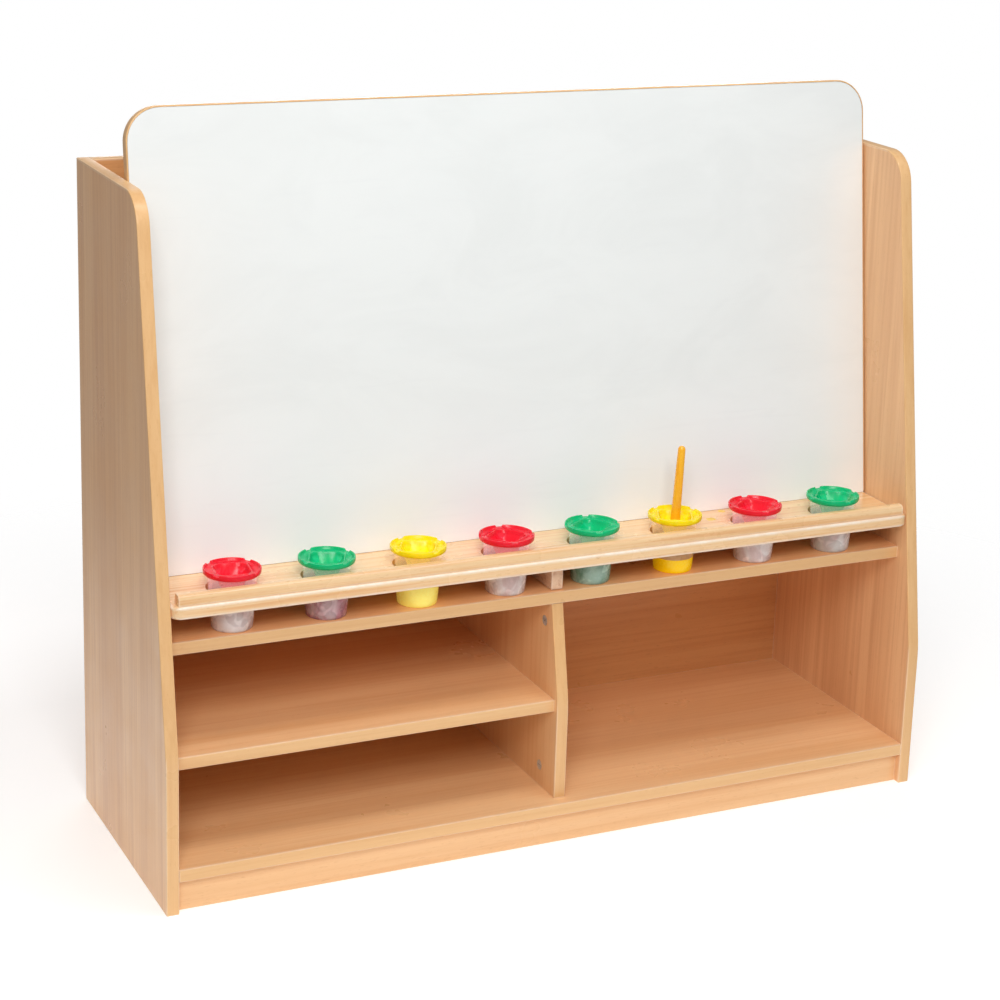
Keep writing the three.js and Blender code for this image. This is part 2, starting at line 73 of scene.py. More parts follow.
def make_camera():
    data = bpy.data.cameras.new("camera")
    data.sensor_width = 36
    data.lens = CAMERA_LENS
    data.shift_x, data.shift_y = CAMERA_SHIFT
    camera = bpy.data.objects.new("camera", data)
    scene.collection.objects.link(camera)
    forward = Vector((
        math.sin(CAMERA_YAW) * math.cos(CAMERA_PITCH),
        math.cos(CAMERA_YAW) * math.cos(CAMERA_PITCH),
        -math.sin(CAMERA_PITCH),
    ))
    level = Vector((math.cos(CAMERA_YAW), -math.sin(CAMERA_YAW), 0))
    upright = level.cross(forward)
    right = math.cos(CAMERA_ROLL) * level + math.sin(CAMERA_ROLL) * upright
    up = -math.sin(CAMERA_ROLL) * level + math.cos(CAMERA_ROLL) * upright
    turn = Matrix((right, up, -forward)).transposed()
    camera.matrix_world = Matrix.Translation(CAMERA_PLACE) @ turn.to_4x4()
    data.clip_start = 0.05
    data.clip_end = 200
    scene.camera = camera


# ---------------------------------------------------------------- shader helpers


class Shader:
    """A material's node tree, with short calls to build it."""

    def __init__(self, name):
        self.material = bpy.data.materials.new(name)
        self.material.use_nodes = True
        self.tree = self.material.node_tree
        self.surface = self.tree.nodes["Principled BSDF"]
        self.position = self.add("ShaderNodeTexCoord").outputs["Object"]

    def height(self):
        return self.add("ShaderNodeSeparateXYZ", {0: self.position}).outputs[2]

    def distance(self, place):
        node = self.add("ShaderNodeVectorMath", {0: self.position, 1: place}, operation="DISTANCE")
        return node.outputs["Value"]

    def add(self, kind, inputs=None, **settings):
        node = self.tree.nodes.new(kind)
        for key, value in settings.items():
            setattr(node, key, value)
        for key, value in (inputs or {}).items():
            self.feed(node.inputs[key], value)
        return node

    def feed(self, socket, value):
        if isinstance(value, bpy.types.NodeSocket):
            self.tree.links.new(value, socket)
        else:
            socket.default_value = value

    def set(self, **values):
        for key, value in values.items():
            self.feed(self.surface.inputs[key.replace("_", " ")], value)

    def math(self, operation, first, second, clamp=False):
        node = self.add("ShaderNodeMath", {0: first, 1: second}, operation=operation, use_clamp=clamp)
        return node.outputs[0]

    def mix(self, factor, first, second):
        node = self.add("ShaderNodeMix", data_type="RGBA")
        self.feed(node.inputs[0], factor)
        self.feed(node.inputs[6], first)
        self.feed(node.inputs[7], second)
        return node.outputs[2]

    def ramp(self, value, low, high, to_low=0.0, to_high=1.0):
        inputs = {"Value": value, "From Min": low, "From Max": high, "To Min": to_low, "To Max": to_high}
        return self.add("ShaderNodeMapRange", inputs, interpolation_type="SMOOTHSTEP").outputs[0]

    def noise(self, size, detail, roughness, offset, distortion=0.0):
        """Noise whose features are about size across: one number, or three in X, Y and Z, in metres."""
        if isinstance(size, (int, float)):
            size = (size, size, size)
        mapping = self.add("ShaderNodeMapping", {"Vector": self.position})
        mapping.inputs["Location"].default_value = offset
        mapping.inputs["Scale"].default_value = tuple(1 / s for s in size)
        inputs = {"Vector": mapping.outputs[0], "Scale": 1.0, "Detail": detail, "Roughness": roughness,
                  "Distortion": distortion}
        return self.add("ShaderNodeTexNoise", inputs).outputs["Fac"]

    def bump(self, height, strength, distance):
        inputs = {"Height": height, "Strength": strength, "Distance": distance}
        return self.add("ShaderNodeBump", inputs).outputs[0]

    def near_edges(self, low, high, width):
        """1 on the edges of the box between low and high, falling to 0 at width from them."""
        split = self.add("ShaderNodeSeparateXYZ", {0: self.position})
        gaps = []
        for axis in range(3):
            here = split.outputs[axis]
            gaps.append(self.math("MINIMUM", self.math("SUBTRACT", here, low[axis]),
                                  self.math("SUBTRACT", high[axis], here)))
        least = self.math("MINIMUM", gaps[0], gaps[1])
        most = self.math("MAXIMUM", gaps[0], gaps[1])
        middle = self.math("MAXIMUM", least, self.math("MINIMUM", most, gaps[2]))
        return self.ramp(middle, 0.0, width, 1.0, 0.0)


GRAIN = {"X": 0, "Y": 1, "Z": 2}


def along(axis, across, length):
    """Feature sizes for a grain that runs along one axis."""
    size = [across] * 3
    size[GRAIN[axis]] = length
    return tuple(size)


DRIP_COLOUR = srgb(240, 200, 0)
DRIPS = [  # place on the tray's top, and radius
    ((0.2835, -0.0885, 0.431), 0.0068),
    ((0.3185, -0.0605, 0.431), 0.0058),
]


def drip_mask(shader, place, radius):
    """1 inside a small uneven spot, 0 outside it."""
    reach = shader.distance(place)
    uneven = shader.math("MULTIPLY", shader.noise(0.004, 2, 0.5, (3, 7, 2)), radius * 1.2)
    return shader.ramp(shader.math("ADD", reach, uneven), radius * 1.5, radius * 1.7, 1.0, 0.0)


EDGE_BREAKS = 0.35  # how far the painted edge highlight fades in places along its length
EDGES = {"paint_tray": (0.006, 1.0), "tray_lip": (0.003, 0.35)}  # width and strength of the painted edge highlights
# width and strength of the painted edge highlight on every other wooden node
PLAIN_EDGE = (0.0022, 0.3)


def wood(name, axis, light, middle, dark, fleck, seed, gloss, box, streak, bump, coat, edge, spots):
    """Beech: soft long bands, fine streaks and short dark flecks along the grain, with a painted highlight
    along the edges, broken in places.
    """
    shader = Shader(name)
    offset = (seed * 3.1, seed * 1.7, seed * 2.3)
    bands = shader.noise(along(axis, 0.045, 1.3), 3, 0.55, offset, 0.6)
    streaks = shader.noise(along(axis, 0.007, 0.35), 4, 0.6, offset, 0.2)
    fibres = shader.noise(along(axis, 0.0016, 0.05), 3, 0.6, offset)
    flecks = shader.noise(along(axis, 0.0012, 0.011), 1, 0.4, offset)
    tone = shader.mix(shader.ramp(bands, 0.3, 0.7), light, middle)
    narrow = shader.math("MULTIPLY", shader.ramp(streaks, 0.42, 0.72), 0.75 * streak)
    tone = shader.mix(narrow, tone, dark)
    pale = shader.math("MULTIPLY", shader.ramp(streaks, 0.52, 0.25), 0.35 * streak)
    tone = shader.mix(pale, tone, light)
    fine = shader.math("MULTIPLY", shader.ramp(fibres, 0.5, 0.8), 0.35 * streak)
    tone = shader.mix(fine, tone, dark)
    dashes = shader.math("MULTIPLY", shader.ramp(flecks, 0.66, 0.76), 0.45 * streak)
    tone = shader.mix(dashes, tone, fleck)
    rough = shader.ramp(shader.noise(0.12, 4, 0.6, offset), 0.3, 0.7, gloss - 0.05, gloss + 0.08)
    width, strength = edge
    # painted highlight: the edges of the node's box are lightened towards near white
    overlay_weight = shader.near_edges(box[0], box[1], width)
    broken = shader.ramp(shader.noise(0.03, 4, 0.7, offset), 0.4, 0.65, 1.0 - EDGE_BREAKS, 1.0)
    overlay_weight = shader.math("MULTIPLY", shader.math("MULTIPLY", overlay_weight, broken), strength)
    edge_highlight_tone = shader.mix(0.85, light, srgb(255, 253, 247))
    tone = shader.mix(overlay_weight, tone, edge_highlight_tone)
    for spot in spots:
        tone = shader.mix(drip_mask(shader, *spot), tone, DRIP_COLOUR)
    relief = shader.math("ADD", shader.math("MULTIPLY", fibres, 0.7), shader.math("MULTIPLY", dashes, -0.6))
    shader.set(Base_Color=tone, Roughness=rough, Normal=shader.bump(relief, bump, 0.0004))
    if coat:
        shader.set(Coat_Weight=coat, Coat_Roughness=0.14)
    return shader


# ---------------------------------------------------------------- wood colours


def tones(light, middle, dark, fleck):
    return {"light": srgb(*light), "middle": srgb(*middle), "dark": srgb(*dark), "fleck": srgb(*fleck)}


LAMINATE = tones((243, 198, 148), (237, 187, 134), (225, 168, 114), (192, 128, 80))
SIDE = tones((243, 196, 147), (230, 179, 131), (211, 154, 110), (182, 124, 82))
# a darker copy of the laminate for the back panel: painted shade, for the dark backs of the bays
SHADED_BACKING = tones((224, 166, 110), (215, 154, 98), (200, 135, 82), (166, 104, 60))
# a redder, less blue copy of the laminate: painted shade colour, the warm cast of light bounced between
# wooden faces in the slot under the tray
LAMINATE_IN_WARM_SHADE = tones((250, 194, 142), (246, 181, 126), (234, 160, 105), (196, 124, 76))
LIPPING = tones((235, 190, 136), (229, 181, 125), (218, 165, 108), (200, 144, 90))
BEECH = tones((248, 213, 165), (241, 198, 146), (229, 166, 104), (208, 150, 98))
PINK_BEECH = tones((242, 208, 176), (233, 192, 158), (208, 158, 124), (182, 134, 104))
TIMBER = tones((230, 200, 158), (218, 184, 140), (198, 158, 116), (164, 122, 84))

# node: tones, direction of the grain
WOODEN = {
    "left_side": (SIDE, "Z"),
    "right_side": (SIDE, "Z"),
    "back_panel": (SHADED_BACKING, "X"),
    "base_shelf": (LAMINATE, "X"),
    "front_plinth": (LAMINATE, "X"),
    "mid_shelf": (LAMINATE, "X"),
    "trough_shelf": (LAMINATE_IN_WARM_SHADE, "X"),
    "centre_divider": (LAMINATE, "Z"),
    "drawing_board": (LAMINATE, "X"),
    "left_side_edging": (LIPPING, "Z"),
    "right_side_edging": (LIPPING, "Z"),
    "back_panel_edging": (LIPPING, "X"),
    "base_shelf_edging": (LIPPING, "X"),
    "mid_shelf_edging": (LIPPING, "X"),
    "trough_shelf_edging": (LIPPING, "X"),
    "centre_divider_edging": (LIPPING, "Z"),
    "drawing_board_edging": (LIPPING, "X"),
    "paint_tray": (BEECH, "X"),
    "tray_lip": (BEECH, "X"),
    "tray_support_block": (PINK_BEECH, "Y"),
    "left_board_batten": (TIMBER, "Z"),
    "right_board_batten": (TIMBER, "Z"),
}
WOODEN.update({name: (TIMBER, "X") for name in NODES if name.startswith("mid_shelf_dowel")})


def paint_node(name, shader):
    mesh = NODES[name].data
    mesh.materials.clear()
    mesh.materials.append(shader.material)


# ---------------------------------------------------------------- CAD nodes: soft edges

SMOOTH_ANGLE = math.radians(32)  # edges that turn more than this stay sharp


def geometry_group(name):
    """A geometry node group with one mesh in and one mesh out, and its input and output nodes."""
    group = bpy.data.node_groups.new(name, "GeometryNodeTree")
    group.interface.new_socket("Geometry", in_out="INPUT", socket_type="NodeSocketGeometry")
    group.interface.new_socket("Geometry", in_out="OUTPUT", socket_type="NodeSocketGeometry")
    return group, group.nodes.new("NodeGroupInput"), group.nodes.new("NodeGroupOutput")


def plain_normals():
    """A node group that drops the imported normals, so that the later modifiers' shapes set them."""
    group, source, sink = geometry_group("plain_normals")
    drop = group.nodes.new("GeometryNodeRemoveAttribute")
    drop.inputs["Name"].default_value = "custom_normal"
    group.links.new(source.outputs[0], drop.inputs["Geometry"])
    group.links.new(drop.outputs[0], sink.inputs[0])
    return group


def smooth_by_angle():
    """A node group that shades a mesh smooth, except across its sharp edges."""
    group, source, sink = geometry_group("smooth_by_angle")
    faces = group.nodes.new("GeometryNodeSetShadeSmooth")
    faces.domain = "FACE"
    faces.inputs["Shade Smooth"].default_value = True
    edges = group.nodes.new("GeometryNodeSetShadeSmooth")
    edges.domain = "EDGE"
    edges.inputs["Shade Smooth"].default_value = False
    angle = group.nodes.new("GeometryNodeInputMeshEdgeAngle")
    sharp = group.nodes.new("FunctionNodeCompare")
    sharp.data_type = "FLOAT"
    sharp.operation = "GREATER_THAN"
    sharp.inputs[1].default_value = SMOOTH_ANGLE
    link = group.links.new
    link(angle.outputs["Unsigned Angle"], sharp.inputs[0])
    link(source.outputs[0], faces.inputs["Geometry"])
    link(faces.outputs[0], edges.inputs["Geometry"])
    link(sharp.outputs[0], edges.inputs["Selection"])
    link(edges.outputs[0], sink.inputs[0])
    return group


PLAIN = plain_normals()
SMOOTH = smooth_by_angle()


def soften(target, width):
    """Rounds a piece's hard edges by width, in millimetres, and shades it smooth between them."""
    plain = target.modifiers.new("plain", "NODES")
    plain.node_group = PLAIN
    merge = target.modifiers.new("weld", "WELD")
    merge.merge_threshold = 1e-5
    planar = target.modifiers.new("planar", "DECIMATE")
    planar.decimate_type = "DISSOLVE"
    planar.angle_limit = math.radians(0.6)
    bevel = target.modifiers.new("bevel", "BEVEL")
    bevel.width = width * MM
    bevel.segments = 2
    bevel.limit_method = "ANGLE"
    bevel.angle_limit = math.radians(35)
    bevel.use_clamp_overlap = True
    bevel.harden_normals = False
    shade = target.modifiers.new("smooth", "NODES")
    shade.node_group = SMOOTH
    weigh = target.modifiers.new("weigh", "WEIGHTED_NORMAL")
    weigh.mode = "FACE_AREA"
    weigh.weight = 100
    weigh.keep_sharp = True


BEVEL = 0.3  # every other edge, in millimetres
BEVELS = {
    "paint_tray": 1.2,
    "tray_lip": 0.4,
    "tray_support_block": 0.8,
    "drawing_board_face": 0.35,
}


# ---------------------------------------------------------------- mesh helpers


def to_mesh(build, name):
    mesh = bpy.data.meshes.new(name)
    build.to_mesh(mesh)
    build.free()
    return mesh


def smooth_mesh(build, name, place=None):
    """The built faces as a smooth mesh with its normals outwards, moved to its place if one is given."""
    for face in build.faces:
        face.smooth = True
    bmesh.ops.recalc_face_normals(build, faces=build.faces)
    if place is not None:
        build.transform(place)
    return to_mesh(build, name)


def bridge(build, first, second):
    """Faces between two closed loops with as many points each."""
    count = len(first)
    for index in range(count):
        following = (index + 1) % count
        build.faces.new((first[index], first[following], second[following], second[index]))


def new_piece(name, mesh, shader, body, replaced):
    """A visible piece that rides on a body and stands in for a CAD node."""
    piece = bpy.data.objects.new(name, mesh)
    scene.collection.objects.link(piece)
    mesh.materials.append(shader.material)
    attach(piece, body)
    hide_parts(replaced)
    return piece


# ---------------------------------------------------------------- lipping strips

STRIP = 2.0
STRIP_ROUND = 1.3
HALF_WIDTH = 600
PANEL = 18
FRONT, BACK = -200.0, 200.0
KNEE = 220  # the height where the side panels start to slope back
SIDE_TOP = 970
SLOPE = 0.1595
SIDE_ROUNDS = [50, 200]  # radii at the top corner and the knee
DIVIDER_OUTLINE = [(-150, 355), (-180, 212), (-180, 65)]
DIVIDER_ROUNDS = [200]
BOARD_HALF = 580.5
BOARD_START, BOARD_END = 2.43, 640.6  # along the board's slope, from its foot
BOARD_ROUNDS = [48, 48]
BOARD_THICK = 16
BOARD_FOOT = (-53, 431)  # Y and Z of the front face's lower edge
BOARD_LEAN = math.radians(7.6)


def rounded_path(corners, radii, segments):
    """Points along a path whose inner corners are rounded."""
    points = [Vector(corners[0])]
    for index in range(1, len(corners) - 1):
        corner = Vector(corners[index])
        back = (Vector(corners[index - 1]) - corner).normalized()
        ahead = (Vector(corners[index + 1]) - corner).normalized()
        half = math.acos(max(-1.0, min(1.0, back.dot(ahead)))) / 2
        radius = radii[index - 1]
        centre = corner + (back + ahead).normalized() * (radius / math.sin(half))
        start = corner + back * (radius / math.tan(half)) - centre
        turn = (math.pi - 2 * half) * math.copysign(1, ahead.cross(back))
        for number in range(segments + 1):
            angle = turn * number / segments
            cosine, sine = math.cos(angle), math.sin(angle)
            turned = (start.x * cosine - start.y * sine, start.x * sine + start.y * cosine)
            points.append(centre + Vector(turned))
    points.append(Vector(corners[-1]))
    return points


def side_path():
    top = (FRONT + SLOPE * (SIDE_TOP - KNEE), SIDE_TOP)
    return rounded_path([(BACK, SIDE_TOP), top, (FRONT, KNEE), (FRONT, 0)], SIDE_ROUNDS, 24)


def divider_path():
    return rounded_path(DIVIDER_OUTLINE, DIVIDER_ROUNDS, 16)


def board_path():
    right, left = (BOARD_HALF, BOARD_START), (-BOARD_HALF, BOARD_START)
    return rounded_path([right, (BOARD_HALF, BOARD_END), (-BOARD_HALF, BOARD_END), left], BOARD_ROUNDS, 24)


def strip_mesh(name, path, ends, place):
    """A lipping strip along a path, between the two sides in ends, with its outer corners rounded.
    The panel lies to the left of the path. place turns (path x, path y, across) into a point."""
    low, high = ends
    bend = STRIP_ROUND
    section = [(STRIP, low)]
    section += [(bend - bend * math.sin(a), low + bend - bend * math.cos(a)) for a in quarter_turn()]
    section += [(bend - bend * math.cos(a), high - bend + bend * math.sin(a)) for a in quarter_turn()]
    section += [(STRIP, high)]
    build = bmesh.new()
    rows = []
    for index, point in enumerate(path):
        before = (point - path[index - 1]).normalized() if index else None
        after = (path[index + 1] - point).normalized() if index < len(path) - 1 else None
        if before is None or after is None:
            level = after or before
            normal = Vector((-level.y, level.x))
            stretch = 1.0
        else:
            middle = (before + after).normalized()
            normal = Vector((-middle.y, middle.x))
            stretch = 1 / max(0.2, middle.dot(after))
        row = []
        for depth, across in section:
            spot = point + normal * depth * stretch
            row.append(build.verts.new(place(spot.x, spot.y, across)))
        rows.append(row)
    count = len(section)
    for first, second in zip(rows, rows[1:]):
        for index in range(count):
            following = (index + 1) % count
            build.faces.new((first[index], second[index], second[following], first[following]))
    build.faces.new(rows[0])
    build.faces.new(list(reversed(rows[-1])))
    return smooth_mesh(build, name)


def quarter_turn():
    return [math.radians(angle) for angle in (0, 22.5, 45, 67.5, 90)]


def upright_place(a, b, across):
    """From a path that lies in an upright plane along Y."""
    return Vector((across, a, b)) * MM


def straight(name):
    """A straight strip along X on the front or top of the node's box."""
    low, high = [Vector(corner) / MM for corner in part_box(name)]
    if name == "back_panel_edging":
        path = [Vector((high.x, high.z)), Vector((low.x, high.z))]
        return path, (low.y, high.y), lambda a, b, across: Vector((a, across, b)) * MM
    path = [Vector((low.x, low.y)), Vector((high.x, low.y))]
    return path, (low.z, high.z), lambda a, b, across: Vector((a, b, across)) * MM


def board_place(a, b, across):
    """From the board's own axes, with across measured out of its front face, to the row's."""
    y = BOARD_FOOT[0] + b * math.sin(BOARD_LEAN) - across * math.cos(BOARD_LEAN)
    z = BOARD_FOOT[1] + b * math.cos(BOARD_LEAN) + across * math.sin(BOARD_LEAN)
    return Vector((a, y, z)) * MM


# node: its path, its two sides across the path, and how both turn into a place
STRIPS = {
    "left_side_edging": (side_path(), (-HALF_WIDTH, PANEL - HALF_WIDTH), upright_place),
    "right_side_edging": (side_path(), (HALF_WIDTH - PANEL, HALF_WIDTH), upright_place),
    "centre_divider_edging": (divider_path(), (-PANEL / 2, PANEL / 2), upright_place),
    "drawing_board_edging": (board_path(), (-BOARD_THICK, 0), board_place),
}
for edging in ("base_shelf_edging", "mid_shelf_edging", "trough_shelf_edging", "back_panel_edging"):
    STRIPS[edging] = straight(edging)


def make_strip(name, shader):
    path, ends, place = STRIPS[name]
    mesh = strip_mesh(f"fine_{name}", path, ends, place)
    piece = new_piece(f"fine_{name}", mesh, shader, "carcass", name)
    shade = piece.modifiers.new("smooth", "NODES")
    shade.node_group = SMOOTH


def dress_wood():
    for number, (name, (palette, axis)) in enumerate(sorted(WOODEN.items()), start=1):
        solid = palette in (BEECH, PINK_BEECH, TIMBER)
        shader = wood(
            f"{name}_wood", axis, seed=number, box=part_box(name),
            gloss=0.26 if solid else 0.32,
            streak=1.0 if solid else 0.55,
            bump=0.16 if solid else 0.07,
            coat=0.5 if palette is BEECH else 0.0,
            edge=EDGES.get(name, PLAIN_EDGE),
            spots=DRIPS if name == "paint_tray" else (),
            **palette,
        )
        if name in STRIPS:
            make_strip(name, shader)
        else:
            paint_node(name, shader)
            soften(NODES[name], BEVELS.get(name, BEVEL))


PALE_BELOW = (0.44, 0.68)  # the board's sheet grows paler from the upper to the lower of these heights


def dress_board_face():
    """Glossy white sheet with the faint clouds and strokes that wiping leaves."""
    shader = Shader("dry_wipe_white")
    low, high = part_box("drawing_board_face")
    smudges = shader.noise((0.22, 0.2, 0.12), 4, 0.6, (2, 5, 1), 0.8)
    strokes = shader.noise((0.16, 0.05, 0.012), 2, 0.5, (7, 1, 3), 1.2)
    tone = shader.mix(shader.ramp(smudges, 0.35, 0.7), srgb(239, 242, 241), srgb(235, 238, 237))
    tone = shader.mix(shader.ramp(shader.height(), *PALE_BELOW, 1.0, 0.0), tone, srgb(247, 251, 253))
    wiped = shader.math("MULTIPLY", shader.ramp(strokes, 0.6, 0.75), 0.08)
    tone = shader.mix(wiped, tone, srgb(226, 228, 230))
    edge = shader.near_edges(low, high, 0.004)
    tone = shader.mix(shader.math("MULTIPLY", edge, 0.1), tone, srgb(214, 208, 198))
    rough = shader.ramp(smudges, 0.3, 0.75, 0.16, 0.27)
    shader.set(Base_Color=tone, Roughness=rough, Normal=shader.bump(smudges, 0.04, 0.002))
    shader.set(Coat_Weight=0.25, Coat_Roughness=0.12)
    paint_node("drawing_board_face", shader)
    soften(NODES["drawing_board_face"], BEVELS["drawing_board_face"])


def dress_fittings():
    """Dull, slightly stained zinc on the cam locks and their bolts."""
    shader = Shader("zinc")
    grain = shader.noise(0.0011, 4, 0.6, (1, 2, 3))
    stain = shader.noise(0.006, 3, 0.6, (4, 2, 8))
    tone = shader.mix(shader.ramp(stain, 0.35, 0.7), srgb(222, 219, 212), srgb(186, 182, 174))
    rough = shader.ramp(grain, 0.3, 0.7, 0.3, 0.5)
    shader.set(Base_Color=tone, Metallic=0.5, Roughness=rough, Normal=shader.bump(grain, 0.3, 0.0002))
    for name in NODES:
        if name.startswith("cam_"):
            paint_node(name, shader)
            soften(NODES[name], BEVEL)


# ---------------------------------------------------------------- fine meshes

BASE = Vector(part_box("pot_1")[0]).z  # the height at which the pots stand
POTS = 8
BRUSH_POT = 6
POT_BOXES = [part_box(f"pot_{number}") for number in range(1, POTS + 1)]
POT_CENTRES = [(Vector(low) + Vector(high)) / 2 for low, high in POT_BOXES]
TURNS = [38, 21, 17, -8, -12, 19, -6, 4]  # degrees, as the CAD pots and lids stand
TINTS = ["red", "green", "yellow"]


def tint_of(number):
    """The lids' colours follow each other in turn."""
    return TINTS[(number - 1) % 3]


def grid_mesh(name, rings, place, closed_loop):
    """A surface through closed rings of points. The last ring joins the first, or both are capped."""
    build = bmesh.new()
    loops = [[build.verts.new(place @ Vector(point)) for point in ring] for ring in rings]
    for first, second in zip(loops, loops[1:]):
        bridge(build, first, second)
    if closed_loop:
        bridge(build, loops[-1], loops[0])
    else:
        build.faces.new(list(reversed(loops[0])))
        build.faces.new(loops[-1])
    return smooth_mesh(build, name)


def lathe_rings(profile, sides):
    """A profile of radii and heights in millimetres, turned round Z."""
    rings = []
    for radius, height in profile:
        ring = []
        for index in range(sides):
            angle = 2 * math.pi * index / sides
            ring.append((radius * MM * math.cos(angle), radius * MM * math.sin(angle), height * MM))
        rings.append(ring)
    return rings


def arc(centre, radius, start, end, steps):
    """Points on a circle's arc in a profile, from start to end degrees."""
    points = []
    for step in range(steps + 1):
        angle = math.radians(start + (end - start) * step / steps)
        points.append((centre[0] + radius * math.cos(angle), centre[1] + radius * math.sin(angle)))
    return points


def stand_matrix(number, turned=True):
    """Where a pot's underside stands, turned about its axis as the CAD pot is."""
    centre = POT_CENTRES[number - 1]
    place = Matrix.Translation((centre.x, centre.y, BASE))
    return place @ Matrix.Rotation(math.radians(TURNS[number - 1]), 4, "Z") if turned else place


# ---------------------------------------------------------------- pots

POT_SIDES = 72
POT_FOOT = 28.5  # outer radius at the foot
POT_SLOPE = (33.6 - POT_FOOT) / 71.8
WALL = 1.5


def pot_radius(height):
    return POT_FOOT + POT_SLOPE * height


def pot_profile():
    """From the middle of the underside, round the outside, over the rim and down the inside."""
    outside = [
        (0.5, 1.2), (22, 1.2), (23.5, 0.9), (24.5, 0.1), (26.4, 0.1), *arc((26.4, 2.2), 2.1, -90, 0, 4),
        *((pot_radius(height), height) for height in (12, 30, 50)), (33.3, 66),
    ]
    rim = [(33.5, 71.5), (34.3, 71.8), (34.6, 72.3), (34.6, 74.7), (34.2, 75.2), (32.6, 75.2), (32.2, 74.7)]
    inside = [
        (32.1, 68), *((pot_radius(height) - WALL, height) for height in (50, 30, 12)),
        *arc((25.6, 3.9), 1.6, 0, -90, 3), (12, 2.2), (0.5, 2.2),
    ]
    return outside + rim + inside


POT_LOOKS = {
    "pot_clear": {"body": srgb(246, 238, 236), "tint": srgb(224, 200, 196)},
    "pot_pink_tint": {"body": srgb(228, 198, 202), "tint": srgb(200, 136, 148)},
    "pot_grey_tint": {"body": srgb(178, 206, 190), "tint": srgb(128, 168, 146)},
}
POT_SLOTS = {2: "pot_pink_tint", 5: "pot_grey_tint"}
# how much each pot's wall hides of what is behind it
POT_COVER = {1: 0.42, 2: 0.42, 3: 0.3, 4: 0.66, 5: 0.62, 6: 0.45, 7: 0.76, 8: 0.4}
NECK = (48 * MM, 60 * MM)  # between these heights the wall turns into the clear neck
NECK_COVER = 0.17
NECK_LIGHT = 0.55
# the light that a lid lets through on to its pot's neck
NECK_GLOW = {
    "red": srgb(246, 202, 204),
    "green": srgb(210, 220, 200),
    "yellow": srgb(246, 216, 166),
}
PAINT_LEVELS = {3: 42, 6: 22}  # in millimetres
PAINT_SEEN = {3: srgb(255, 238, 116), 6: srgb(255, 208, 0)}  # the paint's colour through the wall
PAINT_STAIN = {3: srgb(240, 218, 140), 6: srgb(216, 160, 78)}  # the wall above the paint


def pot_shader(number, body, tint):
    """Milky translucent plastic with a film of old paint. Paint inside it shows through up to its level."""
    shader = Shader(f"pot_{number}_plastic")
    seed = number * 1.37
    opacity = POT_COVER[number]
    film = shader.noise((0.03, 0.03, 0.036), 2, 0.5, (seed, 2, seed * 2), 1.2)
    swipe = shader.noise((0.024, 0.024, 0.026), 1, 0.4, (seed * 2, 5, seed), 1.6)
    speck = shader.noise(0.004, 3, 0.6, (seed * 3, 1, 2))
    height = shader.height()
    tone = shader.mix(shader.ramp(film, 0.38, 0.66), body, tint)
    facing = shader.add("ShaderNodeLayerWeight", {"Blend": 0.35}).outputs["Facing"]
    cover = shader.ramp(facing, 0.1, 1.0, opacity, min(opacity + 0.4, 0.92))
    swiped = shader.ramp(swipe, 0.45, 0.62, 0.0, 0.28 if opacity > 0.3 else 0.05)
    cover = shader.math("ADD", cover, swiped, clamp=True)
    if number in PAINT_STAIN:
        tone = shader.mix(0.75, tone, PAINT_STAIN[number])
    neck = shader.ramp(height, BASE + NECK[0], BASE + NECK[1])
    glow = NECK_GLOW[tint_of(number)]
    tone = shader.mix(neck, tone, glow)
    cover = shader.mix(neck, cover, (NECK_COVER, NECK_COVER, NECK_COVER, 1.0))
    light = shader.math("MULTIPLY", neck, NECK_LIGHT)
    if number in PAINT_LEVELS:
        level, colour = PAINT_LEVELS[number], PAINT_SEEN[number]
        below = shader.ramp(height, BASE + (level - 1) * MM, BASE + level * MM, 1.0, 0.0)
        tone = shader.mix(below, tone, colour)
        cover = shader.math("MAXIMUM", cover, shader.math("MULTIPLY", below, 0.97))
        glow = shader.mix(below, glow, colour)
        light = shader.math("MAXIMUM", light, shader.math("MULTIPLY", below, 0.12))
    shader.set(Emission_Color=glow, Emission_Strength=light)
    shader.set(Base_Color=tone, Alpha=cover, Roughness=shader.ramp(speck, 0.3, 0.7, 0.2, 0.34))
    shader.set(Specular_IOR_Level=0.35, Normal=shader.bump(speck, 0.12, 0.0004))
    return shader


def make_pots():
    rings = lathe_rings(pot_profile(), POT_SIDES)
    for number in range(1, POTS + 1):
        slot = POT_SLOTS.get(number, "pot_clear")
        shader = pot_shader(number, **POT_LOOKS[slot])
        mesh = grid_mesh(f"fine_pot_{number}", rings, stand_matrix(number), False)
        new_piece(f"fine_pot_{number}", mesh, shader, f"pot_{number}", f"pot_{number}")


# ---------------------------------------------------------------- lids

LID_SIDES = 128
LID_RINGS = 31  # as many as the profile in lid_rings has points
LID_COLOURS = {
    "red": (srgb(238, 30, 52), srgb(226, 12, 34)),
    "green": (srgb(0, 190, 122), srgb(0, 172, 106)),
    "yellow": (srgb(255, 226, 4), srgb(255, 208, 0)),
}
FUNNEL_GLOW = 0.2  # the light that comes through the funnel's wall
FUNNEL = (72 * MM, 80 * MM)  # that light fades out between these heights


def step(value, low, high):
    """A smooth step from 0 at low to 1 at high."""
    fraction = min(max((value - low) / (high - low), 0.0), 1.0)
    return fraction * fraction * (3 - 2 * fraction)


